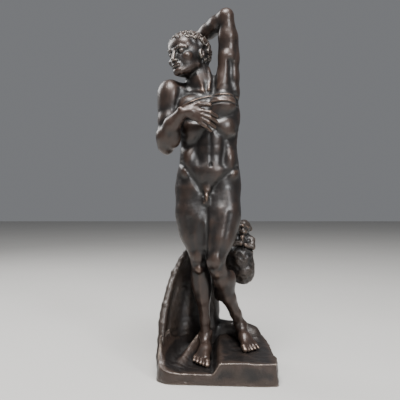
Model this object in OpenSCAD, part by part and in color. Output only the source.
// Standing bronze statuette with a raised arm, cast in sections and bolted to a stepped plinth.
// Millimetres. X runs to the viewer's right, Y to the back and Z up; the plinth rests on Z = 0.
// "Right" and "left" are the figure's own, so its right leg is on the -X side.

/* [Plinth] */
// Width of the plinth across its front
plinth_w = 86; // [82:1:92]
// Depth of the plinth from front to back
plinth_d = 86; // [84:1:92]
// Height of the low ledge at its front edge
ledge_h = 8; // [7.5:0.5:9]
// Height of the raised block at its front edge
block_h = 16; // [15:0.5:17]
// Thickness of the plinth's cast walls
plinth_wall = 3.5; // [3:0.25:4]
// Rounding of the plinth's upright corners
corner_r = 4; // [2:0.5:6]

/* [Castings] */
// Thickness of the hollow torso's wall
shell_wall = 3.2; // [2.6:0.2:4]
// Gap left between mating castings
joint_gap = 0.1; // [0.05:0.05:0.2]
// Radius of the spigots that join head and arms to the torso
spigot_r = 3.4; // [3:0.1:4]
// How far each spigot enters its socket
spigot_len = 8; // [6:0.5:10]
// Radius of the rivet that locks each spigot
rivet_r = 0.9; // [0.7:0.1:1.2]
// Radius of the plugs that close the core-pin holes
plug_r = 2; // [1.5:0.25:2.5]

/* [Fasteners] */
// Thread diameter of the studs under the feet and the rock
stud_d = 4; // [3:0.5:4.5]
// Width across the flats of the thin nuts
nut_flats = 7; // [6.5:0.5:8]
// Thickness of the thin nuts
nut_h = 2.2; // [1.8:0.2:2.4]
// Outer diameter of the washers
washer_d = 8.4; // [8:0.2:9]
// Thickness of the washers
washer_h = 0.6; // [0.4:0.1:0.8]

/* [Dress] */
// Width of the band across the chest
band_w = 7; // [5:0.5:8]
// How far the band stands off the chest
band_h = 0.9; // [0.5:0.1:1.4]

/* [Hidden] */
bronze = [0.20, 0.16, 0.13];
rock_bronze = [0.17, 0.15, 0.14];
brass = [0.62, 0.48, 0.26];
steel = [0.55, 0.55, 0.56];
limb_fn = 16;
mass_fn = 22;
bore_fn = 40;
reach = 150;                 // longer than any cutting block needs to be
half_w = plinth_w / 2;
front_y = -42;
back_y = front_y + plinth_d;
ledge_rise = 6;              // how much the ledge climbs from its front edge to the back
block_rise = 2;              // how much the block climbs from its front edge to the back
ledge_front_y = -34;
nut_gap = 0.1;               // between a washer, its nut and the casting above
core_w = 13.4;               // half the width of the torso's rod-shaped core

// Joints of the skeleton, and the radius of the limb at each
neck_base = [-9.5, 5, 214];
neck_top = [-17, 8, 234];
neck_r = [10.6, 9.6, 9];      // at the base, the joint and the top
shoulder_r = [-35, 4, 211.5];
elbow_r = [-38, -4, 172.5];
wrist_r = [-26, -17.5, 193.8];
knuckles_r = [-14.5, -18.6, 192.8];
shoulder_l = [11, 4, 216];
elbow_l = [9.6, -1, 273];
wrist_l = [-12, 20, 260];
head_at = [-22, 4, 242.5];
head_turn = [0, -20, 0];

neck_dir = neck_top - neck_base;
upper_arm_r_dir = elbow_r - shoulder_r;
upper_arm_l_dir = elbow_l - shoulder_l;
neck_joint = neck_base + 0.55 * neck_dir;
folded_joint = shoulder_r + 0.33 * upper_arm_r_dir;
raised_joint = shoulder_l + 0.34 * upper_arm_l_dir;

right_leg = [
    [[-18.3, 3, 140], 13.2], [[-18, 1.5, 121], 12.2], [[-15.2, -2, 99], 9.4], [[-12.8, -4, 87], 7.4],
    [[-12, 2, 71], 7.6], [[-10.4, 4, 52], 6], [[-8.4, 4, 32], 4.3], [[-8.3, 6, 22], 4.6]
];
left_leg = [
    [[6.2, 3, 141], 13], [[5, -3, 120], 12.2], [[1.8, -10, 98], 9.2], [[0.8, -12, 84.5], 7.8],
    [[7, -3, 69], 7.8], [[13, 4, 52], 6.2], [[17.6, 9, 40], 5.2], [[20, 12, 30], 5]
];
right_foot = [[-8.3, 8.5, 17.5], [-8.6, -4, 16.5], [-11.5, -15, 12.4], [-12.4, -22.5, 10.6]];
left_foot = [[20.5, 15, 22.5], [21.8, 3, 22.5], [24.6, -6, 19.8], [26, -12.5, 18.2]];
foot_r = [5, 5, 3.4, 2.2];

right_stud_at = [-9, -3];
left_stud_at = [22, 5];
rock_stud_at = [[-33, 4], [-9, 26]];
stud_top = 21;
rock_stud_top = 22;

// Stations of the rock wing: rim, middle and root of each slice
wing = [
    [[-39, -20, 14], [-33, 2, 14], [-12, 24, 14]],
    [[-40.5, -16, 26], [-31.5, 5, 26], [-11, 24, 26]],
    [[-39.5, -11, 39], [-29.5, 8, 39], [-10, 24, 39]],
    [[-37.5, -5, 52], [-27, 11, 52], [-9, 24, 52]],
    [[-34.2, 2, 66], [-24, 14, 66], [-8, 24, 66]],
    [[-28.3, 8, 80], [-19, 17, 80], [-6, 24, 80]],
    [[-19.5, 14, 92], [-14, 19, 92], [-4, 24, 93]]
];
wing_r = [2.2, 3, 5.5];
pillar_top = [[-4, 23.5, 93], [-5, 22, 112]];
bridge = [[-6, 23, 82], [4, 22, 84]];
rear_lump = [[[-4, 30, 18], 8], [[10, 31, 19], 8.5], [[6, 28, 30], 6]];
ape_joint = [8.5, 21.5, 83];
ape_dir = [1, -0.15, 0];

// ---------- helpers ----------

// The half of space beyond point p along direction dir
module beyond(p, dir)
    translate(p)
        rotate([0, acos(dir[2] / norm(dir)), atan2(dir[1], dir[0])])
            translate([-reach / 2, -reach / 2, 0])
                cube(reach);

// A rod of radius r and length len from point p along direction dir
module rod(p, dir, r, len)
    translate(p)
        rotate([0, acos(dir[2] / norm(dir)), atan2(dir[1], dir[0])])
            cylinder(h = len, r = r, $fn = bore_fn);

module ball(p, r) translate(p) sphere(r, $fn = limb_fn);

// An ellipsoid of the given radii, let out by grow
module mass(p, radii, turn = [0, 0, 0], grow = 0)
    translate(p)
        rotate(turn)
            scale([radii[0] + grow, radii[1] + grow, radii[2] + grow])
                sphere(1, $fn = mass_fn);

// A chain of [point, radius] stations, hulled pair by pair
module limb(stations, grow = 0)
    for (i = [0 : len(stations) - 2])
        hull() {
            ball(stations[i][0], stations[i][1] + grow);
            ball(stations[i + 1][0], stations[i + 1][1] + grow);
        }

// ---------- plinth ----------

module plinth_outline()
    offset(r = corner_r, $fn = 32)
        offset(delta = -corner_r)
            polygon([
                [-half_w, front_y + 11], [-half_w + 10, front_y + 7.5], [-5, front_y + 6],
                [3, front_y + 1], [half_w - 1, front_y], [half_w, 0], [half_w - 2, 18],
                [half_w - 8, back_y - 12], [half_w - 18, back_y], [-half_w + 22, back_y],
                [-half_w + 6, back_y - 20]
            ]);

// Everything below the ledge's climbing top, or below the block's
module under_slope(height, rise, from_y)
    translate([0, from_y, height])
        rotate([atan2(rise, plinth_d), 0, 0])
            translate([-reach / 2, -reach / 2, -reach])
                cube(reach);

module block_region()
    linear_extrude(reach / 3)
        polygon([[3.5, front_y - 5], [half_w + 5, front_y - 5], [half_w + 5, back_y + 5], [2, back_y + 5]]);

// The sloping face between ledge and block
module riser()
    hull() {
        translate([-4.5, ledge_front_y, 0]) cube([0.1, 2, ledge_h]);
        translate([3.5, front_y + 1, 0]) cube([0.5, 8, block_h]);
        translate([2, back_y - 5, 0]) cube([0.5, 2, block_h]);
    }

module plinth_solid(inset = 0)
    intersection() {
        linear_extrude(reach / 3) offset(delta = -inset) plinth_outline();
        union() {
            intersection() {
                translate([-reach / 2, -reach / 2, 0]) cube(reach);
                under_slope(ledge_h - inset, ledge_rise, ledge_front_y);
            }
            intersection() {
                block_region();
                under_slope(block_h - inset, block_rise, front_y);
            }
            if (inset == 0) riser();
        }
    }

function ledge_top(y) = ledge_h + (y - ledge_front_y) * ledge_rise / plinth_d;
function block_top(y) = block_h + (y - front_y) * block_rise / plinth_d;
function ledge_seat(p) = ledge_top(p[1]) - plinth_wall - 0.4;
function block_seat(p) = block_top(p[1]) - plinth_wall - 0.2;
stud_seats = [
    [right_stud_at, ledge_seat(right_stud_at)], [left_stud_at, block_seat(left_stud_at)],
    [rock_stud_at[0], ledge_seat(rock_stud_at[0])], [rock_stud_at[1], ledge_seat(rock_stud_at[1])]
];

module plinth() color(rock_bronze)
    difference() {
        plinth_solid();
        difference() {
            translate([0, 0, -1]) plinth_solid(plinth_wall);
            for (s = stud_seats)
                translate([s[0][0], s[0][1], s[1]])
                    cylinder(h = plinth_wall * 2, r = washer_d / 2 + 1, $fn = bore_fn);
        }
        for (s = stud_seats)
            translate([s[0][0], s[0][1], -1])
                cylinder(h = reach / 3, r = stud_d / 2 + joint_gap, $fn = bore_fn);
    }

// ---------- rock and ape ----------

module rock_mass(grow = 0) {
    for (i = [0 : len(wing) - 2])
        for (j = [0 : 1])
            hull() {
                ball(wing[i][j], wing_r[j] + grow);
                ball(wing[i][j + 1], wing_r[j + 1] + grow);
                ball(wing[i + 1][j], wing_r[j] + grow);
                ball(wing[i + 1][j + 1], wing_r[j + 1] + grow);
            }
    hull() for (p = pillar_top) ball(p, 6.5 + grow);
    hull() for (p = bridge) ball(p, 6.5 + grow);
    hull() for (s = rear_lump) ball(s[0], s[1] + grow);
}

module rock_support() color(rock_bronze)
    difference() {
        rock_mass();
        plinth_solid_grown();
        figure_mass(joint_gap);
        beyond(ape_joint - joint_gap * ape_dir, ape_dir);
        rod(ape_joint - spigot_len * ape_dir, ape_dir, spigot_r + joint_gap, reach / 3);
        for (p = rock_stud_at)
            translate([p[0], p[1], 0])
                cylinder(h = rock_stud_top + joint_gap, r = stud_d / 2 + joint_gap, $fn = bore_fn);
        ape_rivet_holes(joint_gap / 2);
    }

module plinth_solid_grown() translate([0, 0, joint_gap]) plinth_solid();

module ape_mass() {
    hull() {
        mass([20.5, 18, 86], [10.2, 10, 8]);
        mass([21, 18, 71], [9.6, 9.5, 8.6]);
        ball([11, 20, 84], 5);
    }
    hull() {
        mass([21.5, 17, 97], [7.6, 7.5, 6]);
        mass([21.5, 17, 90], [9.5, 9, 6]);
    }
    limb([[[22, 16.5, 101], 4], [[22.5, 15.8, 107], 4]]);
    mass([22.5, 15.5, 108.8], [5.4, 5.6, 5.2]);
    mass([22, 10.8, 106.3], [3.6, 3.4, 3]);
    limb([[[15.5, 15, 101], 3], [[14, 8.5, 93], 2.6], [[20, 7.5, 94], 2.2]]);
    limb([[[28.2, 15, 101], 3], [[29, 9.5, 93.5], 2.6], [[23, 7.5, 95], 2.2]]);
}

module ape_block() color(rock_bronze)
    difference() {
        union() {
            intersection() {
                ape_mass();
                beyond(ape_joint, ape_dir);
            }
            rod(ape_joint - (spigot_len - 0.5) * ape_dir, ape_dir, spigot_r, spigot_len + 1);
        }
        figure_mass(joint_gap);
        ape_rivet_holes(joint_gap / 2);
    }

ape_rivet_at = [for (dx = [-5.5, -2.8]) ape_joint + dx * ape_dir];

// Upright rivets through the bridge of rock and the ape's spigot, reaching down from the bridge's top
module ape_rivet_holes(grow)
    for (p = ape_rivet_at)
        translate([p[0], p[1], p[2] - 5.1])
            cylinder(h = 15, r = rivet_r + grow, $fn = bore_fn);

module ape_rivets() color(brass)
    for (p = ape_rivet_at)
        translate([p[0], p[1], p[2] - 5])
            cylinder(h = 11, r = rivet_r, $fn = bore_fn);

// ---------- figure ----------

module torso_core(grow = 0) {
    hull() {
        mass([-6.2, 3, 141], [24.4, 14, 14], grow = grow);
        mass([-5.8, 2.5, 155], [22.6, 13.5, 11], grow = grow);
    }
    hull() {
        mass([-5.8, 2.5, 155], [22.6, 13.5, 11], grow = grow);
        mass([-5.4, 1.5, 169], [21.6, 12.8, 9], grow = grow);
    }
    hull() {
        mass([-5.4, 1.5, 169], [21.6, 12.8, 9], grow = grow);
        mass([-5.5, 1.5, 188], [24, 15, 12], grow = grow);
    }
    hull() {
        mass([-5.5, 1.5, 188], [24, 15, 12], grow = grow);
        mass([-6, 3, 202], [24.2, 15, 12], grow = grow);
        mass([-9, 4.5, 210], [20, 10.5, 7], grow = grow);
    }
    mass([-17, -5, 200], [12, 8.8, 9.5], [0, 0, 10], grow);
    mass([5, -5, 202], [12, 8.8, 9.5], [0, 0, -10], grow);
    mass([-17, 11.5, 138], [12, 10, 12.5], [0, 0, 0], grow);
    mass([5, 11.5, 139], [11.5, 10, 12.5], [0, 0, 0], grow);
}

module shoulder_masses(grow = 0) {
    difference() {
        union() {
            limb([[shoulder_r, 9.6], [folded_joint, 8.8], [folded_joint + 0.2 * upper_arm_r_dir, 8.6]], grow);
            hull() {
                ball(shoulder_r, 9.2 + grow);
                ball([-20, 5, 207], 10 + grow);
            }
        }
        beyond(folded_joint + grow * upper_arm_r_dir / norm(upper_arm_r_dir), upper_arm_r_dir);
    }
    difference() {
        union() {
            limb([[shoulder_l, 9.4], [raised_joint, 8.2], [raised_joint + 0.2 * upper_arm_l_dir, 8]], grow);
            limb([[[8.8, 4, 196], 10], [shoulder_l, 9.4]], grow);
        }
        beyond(raised_joint + grow * upper_arm_l_dir / norm(upper_arm_l_dir), upper_arm_l_dir);
    }
    difference() {
        limb([[neck_base, neck_r[0]], [neck_joint, neck_r[1]], [neck_top, neck_r[2]]], grow);
        beyond(neck_joint + grow * neck_dir / norm(neck_dir), neck_dir);
    }
}

module leg_masses(grow = 0) {
    limb(right_leg, grow);
    limb(left_leg, grow);
    for (foot = [right_foot, left_foot]) {
        limb([for (i = [0 : len(foot) - 2]) [foot[i], foot_r[i]]], grow);
        toes(foot[2], foot[3], foot == right_foot ? -1 : 1, grow);
    }
}

// Five toes fanned between the ball of the foot and its tip; outer is -1 or 1, towards the little toe
module toes(from, to, outer, grow)
    for (i = [0 : 4]) {
        side = outer * (i - 1.6) * 2.5;
        back = i * i * 0.22;
        limb([
            [from + [side * 0.8, 1.5, -0.6], 2.3], [to + [side, back, -0.5 + 0.1 * i], 1.75 - 0.12 * i]
        ], grow);
    }

module figure_mass(grow = 0) {
    torso_core(grow);
    shoulder_masses(grow);
    leg_masses(grow);
}

// The band round the chest, tilted up towards the raised arm
module band(grow = 0)
    intersection() {
        torso_core(band_h + grow);
        translate([-6, 0, 206])
            rotate([0, -9, 0])
                translate([-reach / 2, -reach / 2, -band_w / 2 - grow])
                    cube([reach, reach, band_w + 2 * grow]);
    }

// The torso's inside, left by a plain rod-shaped core
module core_space() {
    hull() {
        mass([-6, 2.5, 142], [core_w, 12.5 - shell_wall, 10]);
        mass([-5.4, 1.5, 169], [core_w, 12.8 - shell_wall, 9]);
    }
    hull() {
        mass([-5.4, 1.5, 169], [core_w, 12.8 - shell_wall, 9]);
        mass([-5.5, 2, 190], [core_w, 14.5 - shell_wall, 10]);
        mass([-8, 4.5, 204], [core_w - 2, 11 - shell_wall, 6]);
    }
    for (p = [neck_joint, folded_joint, raised_joint]) core_passage(p);
}

// A narrow way from a socket's floor into the hollow torso
module core_passage(p)
    hull() {
        ball(p, 2.2);
        ball([-8, 4.5, 203], 2.2);
    }

module socket(p, dir) rod(p - spigot_len * dir / norm(dir), dir, spigot_r + joint_gap, reach / 3);

module spigot(p, dir) {
    unit = dir / norm(dir);
    rod(p - (spigot_len - 0.5) * unit, dir, spigot_r, spigot_len + 1.5);
}

// Rivets cross their spigots from front to back, 4 mm below each joint
function rivet_at(p, dir) = p - 4 * dir / norm(dir);
module rivet(p, dir, half_len, grow = 0)
    translate(rivet_at(p, dir) + [0, half_len, 0])
        rotate([90, 0, 0])
            cylinder(h = 2 * half_len, r = rivet_r + grow, $fn = bore_fn);

plug_spots = [[-15, 160], [4, 160], [-6, 190]];
module plug_bar(p, r) translate([p[0], 2, p[1]]) rotate([-90, 0, 0]) cylinder(h = 30, r = r, $fn = bore_fn);

module foot_stud_hole(p, top)
    translate([p[0], p[1], 0])
        cylinder(h = top + joint_gap, r = stud_d / 2 + joint_gap, $fn = bore_fn);

module torso_and_legs() color(bronze)
    difference() {
        union() {
            figure_mass();
            band();
        }
        core_space();
        socket(neck_joint, neck_dir);
        socket(folded_joint, upper_arm_r_dir);
        socket(raised_joint, upper_arm_l_dir);
        rivet(neck_joint, neck_dir, 7, joint_gap / 2);
        rivet(folded_joint, upper_arm_r_dir, 7.4, joint_gap / 2);
        rivet(raised_joint, upper_arm_l_dir, 7.2, joint_gap / 2);
        for (p = plug_spots) plug_bar(p, plug_r + joint_gap / 2);
        plinth_solid_grown();
        foot_stud_hole(right_stud_at, stud_top - 4);
        foot_stud_hole(left_stud_at, stud_top + 3);
    }

module head_mass(grow = 0) {
    mass(head_at, [14.6, 16.2, 17.2], head_turn, grow);
    mass(head_at + [-1, 2.5, 2.6], [16.4, 16.6, 16], head_turn, grow);
    mass(head_at + [-1, -8, -10.5], [9, 8, 8.4], head_turn, grow);
    mass(head_at + [-9, -14.6, -2], [2.4, 3, 4], head_turn, grow);
}

module head() color(bronze)
    difference() {
        union() {
            head_mass();
            intersection() {
                limb([[neck_base, neck_r[0]], [neck_joint, neck_r[1]], [neck_top, neck_r[2]]]);
                beyond(neck_joint + joint_gap * neck_dir / norm(neck_dir), neck_dir);
            }
            spigot(neck_joint, neck_dir);
        }
        difference() {
            figure_mass(joint_gap);
            beyond(neck_joint, neck_dir);
            socket(neck_joint, neck_dir);
        }
        rivet(neck_joint, neck_dir, 8, joint_gap / 2);
    }

module raised_arm() color(bronze)
    difference() {
        union() {
            intersection() {
                limb([
                    [shoulder_l, 9.4], [raised_joint, 8.2], [shoulder_l + 0.62 * upper_arm_l_dir, 7.9],
                    [elbow_l, 6.6]
                ]);
                beyond(raised_joint + joint_gap * upper_arm_l_dir / norm(upper_arm_l_dir), upper_arm_l_dir);
            }
            limb([[elbow_l, 6.6], [elbow_l + 0.35 * (wrist_l - elbow_l), 6.7], [wrist_l, 4.4]]);
            hull() {
                ball(wrist_l, 4);
                mass(wrist_l + [-6, 3, -7], [5, 3, 5]);
            }
            for (i = [0 : 3])
                limb([
                    [wrist_l + [-3 - 2.6 * i, 3.2, -9], 2], [wrist_l + [-5 - 2.8 * i, 1.5, -16 + i], 1.7]
                ]);
            spigot(raised_joint, upper_arm_l_dir);
        }
        head_mass(joint_gap);
        rivet(raised_joint, upper_arm_l_dir, 8, joint_gap / 2);
    }

module folded_arm() color(bronze)
    difference() {
        union() {
            intersection() {
                limb([[shoulder_r, 9.6], [folded_joint, 8.8], [elbow_r, 7.2]]);
                beyond(folded_joint + joint_gap * upper_arm_r_dir / norm(upper_arm_r_dir), upper_arm_r_dir);
            }
            limb([[elbow_r, 7.2], [elbow_r + 0.4 * (wrist_r - elbow_r), 7], [wrist_r, 4.6]]);
            hull() {
                ball(wrist_r, 4.2);
                ball(knuckles_r + [0, -0.5, 4], 2.8);
                ball(knuckles_r + [-1, 0, -5], 2.6);
            }
            for (i = [0 : 3])
                limb([
                    [knuckles_r + [0, -0.4, 4 - 3 * i], 2.4],
                    [knuckles_r + [7.5 - i, 0.6, 1.5 - 2.6 * i], 2.1],
                    [knuckles_r + [13.5 - 1.6 * i, 4.5, -0.5 - 2.2 * i], 1.8]
                ]);
            limb([[wrist_r + [4, -1, 3.5], 2.6], [knuckles_r + [6, 2, 8], 2]]);
            spigot(folded_joint, upper_arm_r_dir);
        }
        difference() {
            union() {
                torso_core(joint_gap);
                band(joint_gap);
            }
            socket(folded_joint, upper_arm_r_dir);
        }
        rivet(folded_joint, upper_arm_r_dir, 8, joint_gap / 2);
    }

module neck_rivet() color(brass) rivet(neck_joint, neck_dir, 6.8);
module raised_arm_rivet() color(brass) rivet(raised_joint, upper_arm_l_dir, 7);
module folded_arm_rivet() color(brass) rivet(folded_joint, upper_arm_r_dir, 7.2);

module core_plugs() color(bronze)
    difference() {
        intersection() {
            torso_core();
            for (p = plug_spots) plug_bar(p, plug_r);
        }
        core_space();
    }

// ---------- fasteners ----------

module stud(p, bottom, top)
    translate([p[0], p[1], bottom])
        cylinder(h = top - bottom, r = stud_d / 2, $fn = bore_fn);

function stud_bottom(seat) = seat - washer_h - nut_h - 1;
module right_foot_stud() color(steel) stud(right_stud_at, stud_bottom(stud_seats[0][1]), stud_top - 4);
module left_foot_stud() color(steel) stud(left_stud_at, stud_bottom(stud_seats[1][1]), stud_top + 3);
module rock_studs() color(steel)
    for (i = [2, 3]) stud(stud_seats[i][0], stud_bottom(stud_seats[i][1]), rock_stud_top);

module stud_washers() color(steel)
    for (s = stud_seats)
        translate([s[0][0], s[0][1], s[1] - washer_h])
            difference() {
                cylinder(h = washer_h, d = washer_d, $fn = bore_fn);
                translate([0, 0, -1]) cylinder(h = 4, r = stud_d / 2 + joint_gap, $fn = bore_fn);
            }

module stud_nuts() color(brass)
    for (s = stud_seats)
        translate([s[0][0], s[0][1], s[1] - washer_h - nut_gap - nut_h])
            difference() {
                cylinder(h = nut_h, r = nut_flats / sqrt(3), $fn = 6);
                translate([0, 0, -1]) cylinder(h = nut_h + 2, r = stud_d / 2 + joint_gap / 2, $fn = bore_fn);
            }

plinth();
rock_support();
ape_block();
torso_and_legs();
head();
raised_arm();
folded_arm();
neck_rivet();
raised_arm_rivet();
folded_arm_rivet();
ape_rivets();
core_plugs();
right_foot_stud();
left_foot_stud();
rock_studs();
stud_washers();
stud_nuts();
